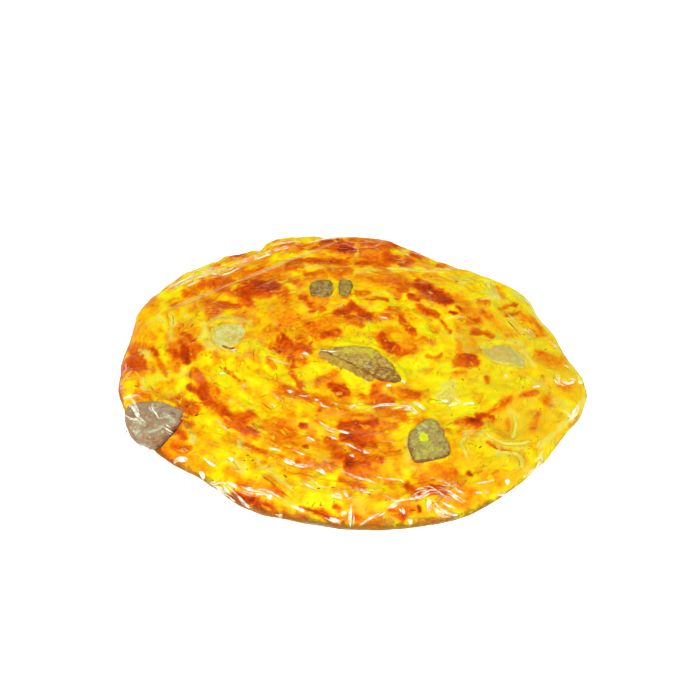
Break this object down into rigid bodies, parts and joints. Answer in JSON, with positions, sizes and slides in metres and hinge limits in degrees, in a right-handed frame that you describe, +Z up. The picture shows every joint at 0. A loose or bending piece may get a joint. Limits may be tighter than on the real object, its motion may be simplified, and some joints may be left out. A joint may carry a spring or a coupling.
{
  "type": "meat patir",
  "caption": "Round flaky flatbread coiled from a rope of dough, with meat chunks, fat and onion strips sunk in its browned top, wrapped tight in clear film.",
  "frame": {"origin": "centre of the bread's flat underside, under the middle of its outline", "axes": "+Z up through the browned top, +X the long way across towards the drawn-out tip, -Y the front"},
  "size_m": [0.2683, 0.2531, 0.0219],
  "materials": {
    "crust": "baked crust seen through tight clear film",
    "meat": "moist cooked meat, fibrous",
    "fat": "soft pale fat, satin",
    "onion": "cooked onion, satin"
  },
  "bodies": {
    "root": {"wrapped_bread": "crust", "meat_back_left": "meat", "meat_back_right": "meat", "meat_middle": "meat", "meat_front": "meat", "meat_rim": "meat", "fat_left": "fat", "fat_right": "fat", "onion_hook": "onion", "onion_long": "onion", "onion_short": "onion", "onion_curl": "onion", "onion_back": "onion", "onion_middle": "onion", "onion_right": "onion", "onion_left": "onion"}
  },
  "joints": []
}
